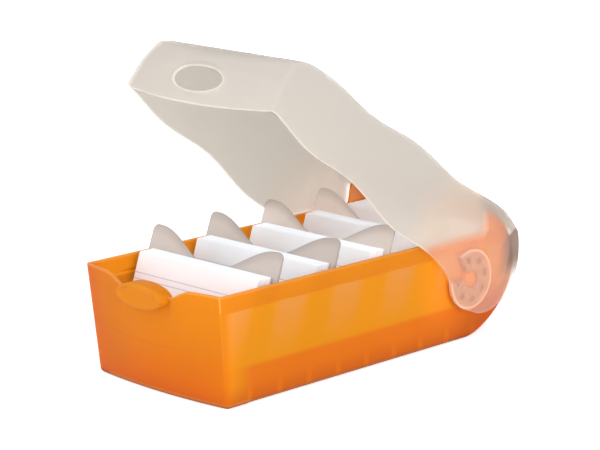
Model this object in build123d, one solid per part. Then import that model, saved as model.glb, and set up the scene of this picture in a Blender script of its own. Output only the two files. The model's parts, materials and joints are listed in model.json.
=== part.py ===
from build123d import *
from math import cos, sin, radians, pi
import os

# The frame: +Z up, the front with the latch at -Y, the hinge at +Y, and the origin on the table
# under the middle of the flat base. All sizes are in millimetres and degrees.

# Cards: landscape A8, leaning back in packs
card_width = 74.0
card_height = 52.0
card_thickness = 0.3
card_pitch = 0.43
card_lean = 19.0
cards_in_pack = 20
cards_in_last_pack = 36
card_side_clearance = 2.15
card_stand = 1.2
card_seat_gap = 0.02

# Dividers: plates with a fin at each end
divider_count = 4
divider_thickness = 1.0
divider_pitch = 35.0
divider_side_gap = 0.5
divider_seat_gap = 0.3
divider_fin_rise = 10.6
divider_saddle_depth = 13.5
divider_fin_inset = 4.0
divider_corner_radius = 3.0

# Tray
tray_wall = 1.6
tray_floor = 2.0
tray_draft = 1.75
tray_corner_radius = 2.2
least_corner_radius = 0.3
front_gap = 2.7
front_lean = 5.4
front_bow_base = 3.1
front_bow_rim = 4.3
last_pack_gap = 18.9
rim_band_height = 7.8
panel_recess = 0.5
panel_start = 13.0
rear_radius = 34.0
rear_top_angle = 67.0
rear_rise_run = 1.8
rear_rise_start = 2.9
rear_tail_drop = 14.0
rear_tail_run = 14.0
guide_rib_thickness = 1.2
guide_rib_length = 14.0
guide_rib_gap = 0.4
guide_rib_sink = 0.2

# Hinge
hinge_below_rim = 20.7
hinge_inset = 1.2
stud_radius = 4.0
stud_running_gap = 0.05
stud_end_gap = 0.4
pad_radius = 13.9
pad_side_gap = 0.3
pad_edge_margin = 0.6
pad_mouth_outer = 27.0
pad_mouth_turn = 184.0
pocket_radius = 1.7
pocket_depth = 1.0
pocket_circle_radius = 9.4
pocket_count = 6
pocket_first = 62.5
pocket_step = 47.0

# Latch: an oval button on the tray and the oval hole that it fills in the lid
latch_width = 28.2
latch_height = 11.0
latch_below_rim = 5.9
latch_proud = 3.6
latch_depth = 5.4
latch_hole_gap = 0.6
notch_half_width = 24.0
notch_depth = 4.6
notch_shoulder = 6.5
notch_slope_run = 9.1
notch_corner = 1.5
latch_edge_radius = 0.5

# Lid, in its closed place
lid_wall = 1.3
lid_rear_gap = 1.8
lid_side_gap = 0.5
lid_skirt_half_width_extra = 3.2
lid_front_gap = 0.7
lid_front_rake = 3.4
lid_front_bow = 4.4
lid_front_slope = 0.28
lid_side_slope = 0.19
lid_rim_setback = 0.6
lid_top_narrowing = 1.0
lid_nose_drop = 3.2
lid_nose_length = 12.0
lid_corner_radius = 2.0
wave_pitch = 66.0
wave_depth = 2.4
edge_front_drop = 15.6
edge_fall = 13.6
edge_wave = 1.5
edge_front_dip = 4.6
lid_rear_angle = 63.3
cheek_foot_angle = -65.0
cheek_growth = 1.2
cheek_step_run = 6.5
hole_ring_width = 2.2
hole_ring_rise = 0.5
lid_open_angle = 33.7

# Places worked out from the sizes
lean = radians(card_lean)
pack_depth = cards_in_pack * card_pitch
last_pack_depth = cards_in_last_pack * card_pitch
rim_height = tray_floor + card_height * cos(lean) - card_stand
base_half_width = card_width / 2 + card_side_clearance + tray_wall
rim_half_width = base_half_width + tray_draft
first_pack_offset = tray_wall + front_gap
last_pack_offset = (first_pack_offset + (divider_count - 1) * divider_pitch
                    + pack_depth + divider_seat_gap + last_pack_gap)
base_length = last_pack_offset + last_pack_depth
base_front = -base_length / 2
base_rear = base_length / 2
front_top = base_front - front_lean
hinge_y = base_rear - hinge_inset
hinge_z = rim_height - hinge_below_rim
latch_z = rim_height - latch_below_rim
lid_rear_radius = rear_radius + lid_rear_gap + lid_wall
crest_z = hinge_z + lid_rear_radius
lid_skirt_half_width = rim_half_width + lid_skirt_half_width_extra
lid_rim_half_width = rim_half_width + lid_side_gap + lid_wall
edge_front_z = rim_height - edge_front_drop + edge_wave
stud_half_length = lid_skirt_half_width - lid_wall - stud_end_gap
pad_inner_face = base_half_width + tray_draft * (hinge_z + pad_radius) / rim_height + pad_side_gap
open_rear_y = hinge_y + 1.5 * lid_rear_radius
far = 3 * base_length
above = crest_z + 40.0


def polar(radius, angle):
    """The (y, z) point at a radius from the hinge axis, with 0 degrees to the rear and 90 up."""
    return (hinge_y + radius * cos(radians(angle)), hinge_z + radius * sin(radians(angle)))


def side_prism(face_wires, half_width):
    """A prism along X whose outline is drawn on the Y-Z plane."""
    face = make_face(Plane.YZ * Wire(face_wires))
    return extrude(face, half_width, both=True)


def plan_outline(z, half_width, rear_half_width, front_y, bow, radius):
    """A flat outline at height z: straight sides and a front edge bowed out by an arc."""
    edges = [
        ThreePointArc((-half_width, front_y), (0, front_y - bow), (half_width, front_y)),
        Line((half_width, front_y), (rear_half_width, open_rear_y)),
        Line((rear_half_width, open_rear_y), (-rear_half_width, open_rear_y)),
        Line((-rear_half_width, open_rear_y), (-half_width, front_y)),
    ]
    face = make_face(Wire(edges))
    corners = face.vertices().sort_by(Axis.Y)[:2]
    face = fillet(corners, radius)
    return Pos(0, 0, z) * face


def tray_form(inset):
    """The drafted body of the tray, as a solid, with every wall moved in by the inset."""
    sections = []
    for z in (0, above):
        share = z / rim_height
        half_width = base_half_width + tray_draft * share - inset
        front_y = base_front - front_lean * share + inset
        bow = front_bow_base + (front_bow_rim - front_bow_base) * share
        radius = max(least_corner_radius, tray_corner_radius - inset)
        sections.append(plan_outline(z, half_width, half_width, front_y, bow, radius))
    return loft(sections, ruled=True)


def rear_curve(inset, foot_z):
    """The rear wall's outline: an arc about the hinge, then a tail that runs into the base."""
    radius = rear_radius - inset
    arc = ThreePointArc(polar(radius, rear_top_angle), polar(radius, rear_top_angle / 2), polar(radius, 0))
    end_y, end_z = polar(radius, 0)
    tail = Bezier(
        (end_y, end_z),
        (end_y, hinge_z - rear_tail_drop),
        (base_rear + rear_tail_run - inset, foot_z),
        (base_rear, foot_z),
    )
    return arc, tail


def make_tray():
    """The orange tray: shell, rear rise, rim band, latch, guide ribs and pivot studs."""
    arc, tail = rear_curve(0, 0)
    top_y, top_z = polar(rear_radius, rear_top_angle)
    rise_y = top_y - rear_rise_start - rear_rise_run
    outer_side = side_prism([
        Line((base_rear, 0), (front_top - far, 0)),
        Line((front_top - far, 0), (front_top - far, rim_height)),
        Line((front_top - far, rim_height), (rise_y, rim_height)),
        Bezier((rise_y, rim_height), (rise_y + rear_rise_run, rim_height), (rise_y + rear_rise_run, top_z),
               (top_y, top_z)),
        arc,
        tail,
    ], 2 * rim_half_width)
    inner_arc, inner_tail = rear_curve(tray_wall, tray_floor)
    inner_top = polar(rear_radius - tray_wall, rear_top_angle)
    inner_side = side_prism([
        Line((base_rear, tray_floor), (front_top - far, tray_floor)),
        Line((front_top - far, tray_floor), (front_top - far, above)),
        Line((front_top - far, above), (inner_top[0], above)),
        Line((inner_top[0], above), inner_top),
        inner_arc,
        inner_tail,
    ], 2 * rim_half_width)
    outer = tray_form(0) & outer_side
    inner = tray_form(tray_wall) & inner_side
    panel_length = open_rear_y - base_front - panel_start
    panel_box = Pos(0, base_front + panel_start + panel_length / 2, 0) * Box(
        4 * rim_half_width, panel_length, 2 * (rim_height - rim_band_height))
    panels = (tray_form(0) - tray_form(panel_recess)) & panel_box
    shell = outer - panels - inner
    shell = shell - notch_cut() + latch_button()
    for side in (-1, 1):
        shell = shell + side_stud(side)
    shell = shell + guide_ribs()
    return shell


def notch_cut():
    """The dip in the front wall's top edge that shows the latch button."""
    half = notch_half_width
    foot = half - notch_slope_run
    bend = foot + notch_corner
    low = rim_height - notch_depth
    top = half - notch_shoulder
    edges = [
        Bezier((-half, rim_height), (-top, rim_height), (-bend, low + notch_corner), (-foot, low)),
        Line((-foot, low), (foot, low)),
        Bezier((foot, low), (bend, low + notch_corner), (top, rim_height), (half, rim_height)),
        Line((half, rim_height), (half, above)),
        Line((half, above), (-half, above)),
        Line((-half, above), (-half, rim_height)),
    ]
    face = make_face(Plane.XZ * Wire(edges))
    length = front_lean + front_bow_rim + latch_proud + first_pack_offset
    return Pos(0, front_top - front_bow_rim - latch_proud, 0) * extrude(face, length, dir=(0, 1, 0))


def latch_oval(width, height, front_y, depth):
    """An oval prism that stands along Y behind front_y, centred on the latch."""
    face = Plane.XZ * Ellipse(width / 2, height / 2)
    return Pos(0, front_y, latch_z) * extrude(face, depth, dir=(0, 1, 0))


def latch_button():
    """The oval button that stands proud of the front wall, with a softened front edge."""
    front_y = front_top - front_bow_rim - latch_proud
    button = latch_oval(latch_width, latch_height, front_y, latch_proud + latch_depth - tray_wall)
    front_edges = button.edges().group_by(Axis.Y)[0]
    return fillet(front_edges, latch_edge_radius)


def side_stud(side):
    """The round stud that carries the lid, moulded on the side wall."""
    start = base_half_width - tray_wall
    length = stud_half_length - start
    stud = Cylinder(stud_radius, length)
    stud = Rot(0, 90, 0) * stud
    return Pos(side * (start + length / 2), hinge_y, hinge_z) * stud


def leaning_plate(width, thickness, height, foot_y, centre_x=0.0):
    """A plate that stands on the tray's floor at foot_y and leans back."""
    plate = Pos(0, thickness / 2, height / 2) * Box(width, thickness, height)
    plate = Rot(-card_lean, 0, 0) * plate
    return Pos(centre_x, foot_y, tray_floor + thickness * sin(lean) + card_seat_gap) * plate


def divider_foot_y(number):
    """Where the front face of a divider meets the floor."""
    return base_front + first_pack_offset + (number - 1) * divider_pitch + pack_depth + divider_seat_gap


def guide_ribs():
    """Short leaning ribs on the side walls, in front of and behind the foot of each divider."""
    ribs = []
    reach = card_side_clearance + tray_draft
    for number in range(1, divider_count + 1):
        foot = divider_foot_y(number)
        front_rib = foot - (guide_rib_gap + guide_rib_thickness) / cos(lean)
        rear_rib = foot + (divider_thickness + guide_rib_gap) / cos(lean)
        for rib_y in (front_rib, rear_rib):
            for side in (-1, 1):
                centre_x = side * (card_width / 2 + guide_rib_gap + reach / 2)
                rib = leaning_plate(reach, guide_rib_thickness, guide_rib_length, rib_y, centre_x)
                ribs.append(Pos(0, 0, -card_seat_gap - guide_rib_sink) * rib)
    wall_zone = tray_form(tray_wall / 2)
    return [rib & wall_zone for rib in ribs]


def roof_z(y):
    """Height of the closed lid's roof: a cosine wave that ends on the rear drum, with a dropped nose."""
    wave = wave_depth * (1 - cos(2 * pi * (y - hinge_y) / wave_pitch)) / 2
    nose_start = front_top + lid_nose_length
    nose = lid_nose_drop * (max(0.0, nose_start - y) / lid_nose_length) ** 2
    return crest_z - wave - nose


def lid_form(inset):
    """The closed lid as a solid block, with every wall moved in by the inset."""
    skirt = lid_skirt_half_width - inset
    rim = lid_rim_half_width - inset
    sections = []
    base_y = front_top - lid_front_gap - lid_wall - lid_front_rake / 2 + inset
    radius = max(least_corner_radius, lid_corner_radius - inset)
    rise = above - rim_height
    top = rim - lid_side_slope * rise
    top_back = lid_rim_setback + lid_front_slope * rise
    for z, half, rear_half, bow, back in (
        (hinge_z - 1.5 * lid_rear_radius, skirt, skirt, lid_front_bow, 0.0),
        (edge_front_z, skirt, skirt, lid_front_bow, 0.0),
        (rim_height, rim, skirt, lid_front_bow, lid_rim_setback),
        (above, top, skirt - lid_top_narrowing, lid_front_bow - lid_top_narrowing, top_back),
    ):
        sections.append(plan_outline(z, half, rear_half, base_y + back, bow, radius))
    block = loft(sections, ruled=True)
    steps = 18
    start_y = front_top - 3 * lid_front_bow
    span = hinge_y - start_y
    points = []
    for i in range(steps + 1):
        y = start_y + span * i / steps
        points.append((y, roof_z(y) - inset))
    radius = lid_rear_radius - inset
    profile = side_prism([
        Spline(points, tangents=[(1, 1.2), (1, 0)]),
        ThreePointArc(polar(radius, 90), polar(radius, 0), polar(radius, -90)),
        Line(polar(radius, -90), (start_y, hinge_z - radius)),
        Line((start_y, hinge_z - radius), points[0]),
    ], 2 * lid_skirt_half_width)
    return block & profile


def edge_z(y):
    """Height of the closed lid's side edge: a fall to the rear with the roof's wave turned over."""
    share = (y - front_top) / (hinge_y - front_top)
    return edge_front_z - edge_fall * share - edge_wave * cos(2 * pi * (y - hinge_y) / wave_pitch)


def lobe_radius(angle):
    """Radius of the cheek's rear outline: a snail curve from the pad to the roof's rear edge."""
    low = pad_radius + pad_edge_margin
    share = (angle - cheek_foot_angle) / (lid_rear_angle - cheek_foot_angle)
    return low + (lid_rear_radius - low) * share ** cheek_growth


def lid_trim():
    """All the space above the lid's free edges, seen from the side."""
    edge_end = hinge_y - pad_radius - cheek_step_run
    steps = 14
    wave = []
    for i in range(steps + 1):
        y = front_top + (edge_end - front_top) * i / steps
        wave.append((y, edge_z(y)))
    lobe_low = pad_radius + pad_edge_margin
    foot_start = -180 - cheek_foot_angle
    snail = []
    for i in range(8):
        angle = cheek_foot_angle + (lid_rear_angle - cheek_foot_angle) * i / 7
        snail.append(polar(lobe_radius(angle), angle))
    outside = polar(1.5 * lid_rear_radius, lid_rear_angle)
    return side_prism([
        Line((front_top - far, edge_z(front_top) - 2 * edge_front_dip),
             (front_top, edge_z(front_top) - 2 * edge_front_dip)),
        Line((front_top, edge_z(front_top) - 2 * edge_front_dip), wave[0]),
        Spline(wave),
        Spline([wave[-1], polar(lobe_low, foot_start)], tangents=[(1, -0.25), (0.9, -0.45)]),
        ThreePointArc(polar(lobe_low, foot_start), polar(lobe_low, -90), snail[0]),
        Spline(snail, tangents=[(0.95, 0.55), (-0.5, 1)]),
        Line(snail[-1], outside),
        Line(outside, (outside[0], above)),
        Line((outside[0], above), (front_top - far, above)),
        Line((front_top - far, above), (front_top - far, edge_z(front_top) - 2 * edge_front_dip)),
    ], 2 * lid_skirt_half_width)


def front_edge_cut():
    """What is cut away under the front wall's free edge, which dips in the middle."""
    half = lid_skirt_half_width
    side_z = edge_z(front_top)
    edges = [
        ThreePointArc((-half, side_z), (0, side_z - edge_front_dip), (half, side_z)),
        Line((half, side_z), (half, -above)),
        Line((half, -above), (-half, -above)),
        Line((-half, -above), (-half, side_z)),
    ]
    face = make_face(Plane.XZ * Wire(edges))
    return Pos(0, front_top, 0) * extrude(face, far, dir=(0, -1, 0))


def bearing_pad(side):
    """The C-shaped pad inside a cheek, with the mouth that lets the stud in and round pockets."""
    outer_face = lid_skirt_half_width - lid_wall / 2
    thickness = outer_face - pad_inner_face
    pad = Cylinder(pad_radius, thickness)
    mouth = Polyline(
        (0, 0),
        (2 * pad_radius * cos(radians(pad_mouth_turn + pad_mouth_outer)),
         2 * pad_radius * sin(radians(pad_mouth_turn + pad_mouth_outer))),
        (2 * pad_radius * cos(radians(pad_mouth_turn - pad_mouth_outer)),
         2 * pad_radius * sin(radians(pad_mouth_turn - pad_mouth_outer))),
        close=True,
    )
    pad = pad - Cylinder(stud_radius + stud_running_gap, 2 * thickness)
    pad = pad - extrude(make_face(mouth), thickness, both=True)
    for index in range(pocket_count):
        angle = radians(pad_mouth_turn + pocket_first + index * pocket_step)
        place = Pos(pocket_circle_radius * cos(angle), pocket_circle_radius * sin(angle), thickness / 2)
        pad = pad - place * Cylinder(pocket_radius, 2 * pocket_depth)
    on_side = Plane(
        origin=(side * (pad_inner_face + thickness / 2), hinge_y, hinge_z),
        x_dir=(0, 1, 0),
        z_dir=(-side, 0, 0),
    )
    if side > 0:
        pad = mirror(pad, about=Plane.XZ)
    return on_side * pad


def make_lid_closed():
    """The lid in its closed place, on its studs."""
    outer = lid_form(0)
    shell = outer - lid_form(lid_wall)
    shell = (shell & lid_trim()) - front_edge_cut()
    hole_width = latch_width + 2 * latch_hole_gap
    hole_height = latch_height + 2 * latch_hole_gap
    start = front_top - 3 * lid_front_bow
    through = front_top + first_pack_offset - start
    ring = latch_oval(hole_width + 2 * hole_ring_width, hole_height + 2 * hole_ring_width, start, through)
    ring = ring & (lid_form(-hole_ring_rise) - lid_form(lid_wall / 2))
    shell = shell + ring - latch_oval(hole_width, hole_height, start, through)
    for side in (-1, 1):
        shell = shell + bearing_pad(side)
    return shell


def make_divider(number):
    """A divider plate: straight foot, drafted edges, and a fin at each end of a low saddle."""
    foot_half = base_half_width - tray_wall - divider_side_gap + tray_draft * tray_floor / rim_height
    saddle_height = card_height + divider_fin_rise
    rim_share = card_height * cos(lean) / rim_height
    top_half = foot_half + tray_draft * rim_share
    peak_x = top_half - divider_fin_inset
    steps = 12
    saddle = []
    for i in range(-steps, steps + 1):
        x = peak_x * i / steps
        saddle.append((x, saddle_height - divider_saddle_depth * (1 + cos(pi * x / peak_x)) / 2))
    edges = [
        Spline(saddle, tangents=[(1, 0), (1, 0)]),
        Line((peak_x, saddle_height), (top_half, saddle_height)),
        Line((top_half, saddle_height), (top_half, card_height)),
        Line((top_half, card_height), (foot_half, 0)),
        Line((foot_half, 0), (-foot_half, 0)),
        Line((-foot_half, 0), (-top_half, card_height)),
        Line((-top_half, card_height), (-top_half, saddle_height)),
        Line((-top_half, saddle_height), (-peak_x, saddle_height)),
    ]
    face = make_face(Wire(edges))
    corners = [v for v in face.vertices() if abs(abs(v.X) - top_half) < 0.01 and v.Y > card_height + 1]
    face = fillet(corners, divider_corner_radius)
    plate = extrude(Plane.XZ * face, -divider_thickness)
    plate = Rot(-card_lean, 0, 0) * plate
    seat = tray_floor + divider_thickness * sin(lean) + card_seat_gap
    return Pos(0, divider_foot_y(number), seat) * plate


def pack_front_y(number):
    """Where the front card of a pack meets the floor."""
    if number > divider_count:
        return base_front + last_pack_offset
    return base_front + first_pack_offset + (number - 1) * divider_pitch


def make_cards(number, first, last):
    """The cards of a pack from index first up to, but without, index last, each a solid."""
    start = pack_front_y(number)
    return [leaning_plate(card_width, card_thickness, card_height, start + index * card_pitch)
            for index in range(first, last)]


def save(name, shape):
    """Writes one sub-part, in which each piece stays a solid of its own."""
    solids = shape if isinstance(shape, list) else [shape]
    pieces = [solid for item in solids for solid in item.solids()]
    export_step(Compound(children=pieces) if len(pieces) > 1 else pieces[0], f"parts/{name}.step")


os.makedirs("parts", exist_ok=True)
save("tray", make_tray())
hinge_axis = Axis((0, hinge_y, hinge_z), (1, 0, 0))
save("lid", make_lid_closed().rotate(hinge_axis, -lid_open_angle))
for divider_number in range(1, divider_count + 1):
    save(f"divider_{divider_number}", make_divider(divider_number))
for pack_number in range(1, divider_count + 2):
    count = cards_in_last_pack if pack_number > divider_count else cards_in_pack
    save(f"front_card_{pack_number}", make_cards(pack_number, 0, 1))
    save(f"cards_{pack_number}", make_cards(pack_number, 1, count - 1))
    save(f"rear_card_{pack_number}", make_cards(pack_number, count - 1, count))
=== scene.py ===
import json
from math import cos, pi, radians, sin

import bmesh
import bpy
import numpy as np
from mathutils import Matrix, Vector


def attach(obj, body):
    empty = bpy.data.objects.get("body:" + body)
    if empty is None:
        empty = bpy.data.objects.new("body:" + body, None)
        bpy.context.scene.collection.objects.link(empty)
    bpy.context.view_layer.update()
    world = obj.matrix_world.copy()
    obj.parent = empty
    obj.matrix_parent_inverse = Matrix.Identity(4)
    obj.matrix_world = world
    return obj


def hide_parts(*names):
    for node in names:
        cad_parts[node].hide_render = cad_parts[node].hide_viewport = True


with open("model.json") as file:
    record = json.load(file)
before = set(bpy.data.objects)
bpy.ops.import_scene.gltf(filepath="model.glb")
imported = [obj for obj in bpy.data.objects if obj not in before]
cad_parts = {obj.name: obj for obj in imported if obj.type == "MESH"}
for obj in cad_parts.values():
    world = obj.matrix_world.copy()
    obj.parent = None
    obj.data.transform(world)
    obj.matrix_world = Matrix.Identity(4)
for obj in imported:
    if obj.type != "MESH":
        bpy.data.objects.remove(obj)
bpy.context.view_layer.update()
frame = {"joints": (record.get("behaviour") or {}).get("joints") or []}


# The camera: it stands to the right of the latch, a little above the tray's rim, and sees the box as the
# photograph does. Its place, turn and lens were fitted to the box's corners.
camera_azimuth = radians(44.41)
camera_elevation = radians(13.27)
camera_place = Vector((0.7242, -0.7310, 0.3027))

backward = Vector((sin(camera_azimuth) * cos(camera_elevation),
                   -cos(camera_azimuth) * cos(camera_elevation),
                   sin(camera_elevation)))
rightward = Vector((cos(camera_azimuth), sin(camera_azimuth), 0))
upward = backward.cross(rightward)
camera_turn = Matrix((rightward, upward, backward)).transposed().to_4x4()


def put(name, data):
    """A new object with that data in the scene."""
    thing = bpy.data.objects.new(name, data)
    bpy.context.scene.collection.objects.link(thing)
    return thing


camera = put("camera", bpy.data.cameras.new("camera"))
camera.data.lens = 142.44
camera.data.sensor_width = 36
camera.matrix_world = Matrix.Translation(camera_place) @ camera_turn
bpy.context.scene.camera = camera
bpy.context.scene.view_settings.view_transform = "Standard"


# The tray: one injection moulding in orange polypropylene, frosted and translucent. Its bowed front leans
# out, its sides have a smooth band along the rim over slightly sunken panels, and its rear wall is a drum
# about the hinge.
MM = 0.001
lid_hinge = next(joint for joint in frame["joints"] if joint["name"] == "lid_hinge")
hinge_y, hinge_z = (place / MM for place in lid_hinge["pos_m"][1:])
rim_z = 49.97
front_top = -81.69
base_front = -76.29
base_rear = 76.29
base_half = 40.75
tray_draft = 1.75
tray_wall = 1.6
tray_floor = 2.0
tray_round = 2.2
tray_lip = 0.4
front_bow_base = 3.1
front_bow_rim = 4.3
drum_radius = 34.0
drum_top_angle = radians(67)
tail_drop = 14.0
tail_run = 14.0
rise_run = 1.8
rise_start = 2.9
band_height = 7.8
panel_recess = 0.5
panel_start = 13.0
notch_half = 28.0
notch_depth = 4.6
notch_shoulder = 6.5
notch_foot = 14.9
notch_run = 3.5
notch_rise = 1.6
notch_reach = 16.0
fan_length = 36.0
lean_reach = 20.0
sharp_angle = radians(50)


def grid_faces(rows, columns):
    """The quads of a grid of points, row by row, as an array of point numbers."""
    first = np.arange(rows * columns).reshape(rows, columns)[:-1, :-1].ravel()
    return np.stack([first, first + columns, first + columns + 1, first + 1], 1)


def blend_three(first, middle, last, t):
    """The quadratic curve that leaves first and reaches last, drawn towards middle."""
    return first * (1 - t) ** 2 + middle * 2 * t * (1 - t) + last * t ** 2


def blend_four(first, second, third, last, count):
    """Points on the cubic curve from first to last, drawn towards second and third."""
    t = np.linspace(0, 1, count)[:, None]
    return (np.array(first) * (1 - t) ** 3 + np.array(second) * 3 * t * (1 - t) ** 2
            + np.array(third) * 3 * t ** 2 * (1 - t) + np.array(last) * t ** 3)


def smooth_step(values, start, stop):
    """0 below start and 1 above stop, rising by 3 t squared less 2 t cubed."""
    t = np.clip((values - start) / (stop - start), 0, 1)
    return t * t * (3 - 2 * t)


def build(name, points, faces):
    """An object from points in millimetres and faces, with its doubles merged and only real edges sharp."""
    mesh = bpy.data.meshes.new(name)
    mesh.from_pydata((np.asarray(points) * MM).tolist(), [], [list(face) for face in faces])
    work = bmesh.new()
    work.from_mesh(mesh)
    bmesh.ops.remove_doubles(work, verts=work.verts, dist=0.01 * MM)
    bmesh.ops.delete(work, geom=[vertex for vertex in work.verts if not vertex.link_faces], context="VERTS")
    work.to_mesh(mesh)
    work.free()
    mesh.shade_smooth()
    mesh.set_sharp_from_angle(angle=sharp_angle)
    return put(name, mesh)


def shell(name, points, faces, wall, lip, share_of=None):
    """A closed shell inside the given outer face, with rounded free edges: wall thick, times share_of(y, z).

    The attribute "edge" is 1 along the free edges and falls to 0 over the first cells beside them. The
    attribute "inner" is 1 on the inner face.
    """
    piece = build(name, points, faces)
    face_count = len(piece.data.polygons)
    edge_of_loop = np.empty(len(piece.data.loops), int)
    piece.data.loops.foreach_get("edge_index", edge_of_loop)
    edge_ends = np.empty(len(piece.data.edges) * 2, int)
    piece.data.edges.foreach_get("vertices", edge_ends)
    free = np.bincount(edge_of_loop, minlength=len(piece.data.edges)) == 1
    beside = np.zeros(len(piece.data.vertices))
    beside[edge_ends.reshape(-1, 2)[free]] = 1
    piece.data.attributes.new("edge", "FLOAT", "POINT").data.foreach_set("value", beside)
    solid = piece.modifiers.new("wall", "SOLIDIFY")
    solid.thickness = wall * MM
    solid.offset = -1
    solid.use_even_offset = True
    if share_of:
        group = piece.vertex_groups.new(name="thickness")
        places = np.empty(len(piece.data.vertices) * 3)
        piece.data.vertices.foreach_get("co", places)
        share = np.round(share_of(places[1::3] / MM, places[2::3] / MM), 2)
        for level in np.unique(share):
            group.add(np.flatnonzero(share == level).tolist(), level, "REPLACE")
        solid.vertex_group = "thickness"
        solid.thickness_vertex_group = 0
    bpy.context.view_layer.update()
    finished = bpy.data.meshes.new_from_object(piece.evaluated_get(bpy.context.evaluated_depsgraph_get()))
    piece.modifiers.clear()
    piece.vertex_groups.clear()
    piece.data = finished
    number = np.arange(len(finished.polygons))
    inner = ((number >= face_count) & (number < 2 * face_count)).astype(float)
    finished.attributes.new("inner", "FLOAT", "FACE").data.foreach_set("value", inner)

    work = bmesh.new()
    work.from_mesh(finished)
    first_rim = 2 * face_count
    lip_edges = [edge for edge in work.edges if sum(face.index >= first_rim for face in edge.link_faces) == 1]
    bmesh.ops.bevel(work, geom=lip_edges, offset=lip * MM, segments=2, profile=0.5, affect="EDGES",
                    clamp_overlap=False)
    work.to_mesh(finished)
    work.free()
    finished.shade_smooth()
    finished.set_sharp_from_angle(angle=sharp_angle)
    return piece


def tray_profile():
    """The side view's lower path as y and z: the straight base, the tail's cubic and the drum's arc."""
    base = np.stack([np.linspace(base_front + tray_round, base_rear, 110), np.zeros(110)], 1)
    tail = blend_four((base_rear, 0), (base_rear + tail_run, 0), (hinge_y + drum_radius, hinge_z - tail_drop),
                      (hinge_y + drum_radius, hinge_z), 34)
    angle = np.linspace(0, drum_top_angle, 34)
    drum = np.stack([hinge_y + drum_radius * np.cos(angle), hinge_z + drum_radius * np.sin(angle)], 1)
    return np.concatenate([base, tail[1:], drum[1:]]), len(base)


def tray_rim_side(end, count):
    """The side's top edge in the rear, as y and z: level along the rim, then up the rise to the given end."""
    top_y = hinge_y + drum_radius * cos(drum_top_angle)
    top_z = hinge_z + drum_radius * sin(drum_top_angle)
    rise_y = top_y - rise_start - rise_run
    rise = blend_four((rise_y, rim_z), (rise_y + rise_run, rim_z), (rise_y + rise_run, top_z), end, 30)
    level = np.stack([np.linspace(base_rear - fan_length, rise_y, 40), np.full(40, rim_z)], 1)
    line = np.concatenate([level, rise[1:]])
    length = np.concatenate([[0], np.cumsum(np.hypot(*np.diff(line, axis=0).T))])
    along = np.linspace(0, length[-1], count)
    return np.stack([np.interp(along, length, line[:, 0]), np.interp(along, length, line[:, 1])], 1)


def panel_sink(y, z):
    """How far the side's panel is sunk: the recess, below the band and behind the front, and 0 elsewhere."""
    behind = smooth_step(y, base_front + panel_start - 1, base_front + panel_start + 1)
    return panel_recess * behind * smooth_step(rim_z - band_height - z, -0.25, 0.25)


def tray_side_x(y, z):
    """Half-width of the tray's side: the mould's draft, less the sunk panel."""
    return base_half + tray_draft * z / rim_z - panel_sink(y, z)


def tray_wall_share(y, z):
    """The wall's thickness over the floor's: thinner at the panels, so that the inside stays straight."""
    return np.where(z < 0.2, 1, (tray_wall - panel_sink(y, z)) / tray_floor)


def tray_front_y(x, z):
    """Place of the front wall: it leans out with height and bows out in the middle."""
    half = base_half + tray_draft * z / rim_z
    bow = front_bow_base + (front_bow_rim - front_bow_base) * z / rim_z
    return base_front + (front_top - base_front) * z / rim_z - bow * (1 - (x / half) ** 2)


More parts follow.
